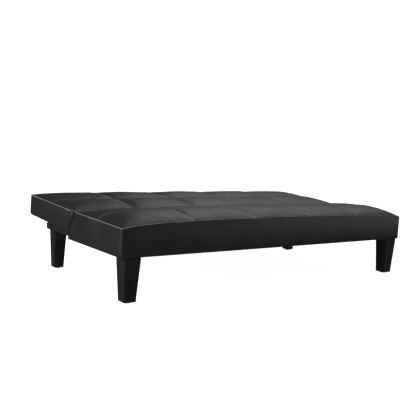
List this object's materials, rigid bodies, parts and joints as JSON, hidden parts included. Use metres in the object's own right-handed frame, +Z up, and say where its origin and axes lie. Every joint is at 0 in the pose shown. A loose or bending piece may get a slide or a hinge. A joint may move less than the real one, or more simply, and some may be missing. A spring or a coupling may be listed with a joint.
{
  "type": "futon sofa bed",
  "caption": "Click-clack futon sofa bed stored flat: tufted black faux leather seat and backrest, tapered black legs, rear rails, ratchet fold hinges and sprung wooden frames inside.",
  "frame": {"origin": "on the floor, under the middle of the flat lying surface", "axes": "+X along the sofa bed's length, +Y towards the back, +Z up"},
  "size_m": [1.86, 1.04, 0.3798],
  "materials": {
    "faux_leather": "semi-matt soft-grain faux leather, grey contrast stitching",
    "foam": "open-cell polyurethane foam",
    "dust_cloth": "non-woven dust cloth",
    "leg_black": "black satin lacquer",
    "rail_black": "black matt lacquer",
    "frame_pine": "sawn pine",
    "hinge_steel": "black zinc-plated steel",
    "zinc_steel": "bright zinc plating",
    "spring_wire": "drawn spring wire",
    "glide_plastic": "moulded",
    "bumper_rubber": "moulded rubber"
  },
  "bodies": {
    "base": {"seat_cover": "faux_leather", "seat_foam": "foam", "seat_springs": "spring_wire", "seat_spring_clips": "spring_wire", "seat_front_rail": "frame_pine", "seat_rear_rail": "frame_pine", "seat_side_board_left": "frame_pine", "seat_side_board_right": "frame_pine", "seat_cross_beams": "frame_pine", "seat_corner_blocks": "frame_pine", "seat_dust_cover": "dust_cloth", "seat_staples": "zinc_steel", "seat_frame_screws": "zinc_steel", "base_rail_left": "rail_black", "base_rail_right": "rail_black", "rail_screws": "zinc_steel", "back_bumpers": "bumper_rubber", "leg_front_left": "leg_black", "leg_front_right": "leg_black", "leg_rear_left": "leg_black", "leg_rear_right": "leg_black", "leg_bolts": "zinc_steel", "leg_glides": "glide_plastic", "hinge_seat_plate_left": "hinge_steel", "hinge_seat_plate_right": "hinge_steel", "hinge_seat_bolts": "zinc_steel", "hinge_pivot_pin_left": "zinc_steel", "hinge_pivot_pin_right": "zinc_steel", "pawl_pins": "zinc_steel", "pawl_springs": "spring_wire"},
    "backrest": {"hinge_back_plate_left": "hinge_steel", "hinge_back_plate_right": "hinge_steel", "hinge_back_bolts": "zinc_steel", "back_cover": "faux_leather", "back_foam": "foam", "back_springs": "spring_wire", "back_spring_clips": "spring_wire", "back_front_rail": "frame_pine", "back_rear_rail": "frame_pine", "back_side_board_left": "frame_pine", "back_side_board_right": "frame_pine", "back_cross_beams": "frame_pine", "back_dust_cover": "dust_cloth", "back_staples": "zinc_steel", "back_frame_screws": "zinc_steel"},
    "pawl_left": {"pawl_left": "hinge_steel"},
    "pawl_right": {"pawl_right": "hinge_steel"}
  },
  "joints": [
    {"name": "back_fold", "type": "hinge", "parent": "base", "child": "backrest", "pos_m": [0, -0.033, 0.325], "axis": [1, 0, 0], "range_deg": [0, 68]},
    {"name": "pawl_left_lift", "type": "hinge", "parent": "base", "child": "pawl_left", "pos_m": [-0.9138, -0.063, 0.247], "axis": [1, 0, 0], "range_deg": [0, 10]},
    {"name": "pawl_right_lift", "type": "hinge", "parent": "base", "child": "pawl_right", "pos_m": [0.9138, -0.063, 0.247], "axis": [1, 0, 0], "range_deg": [0, 10]}
  ]
}
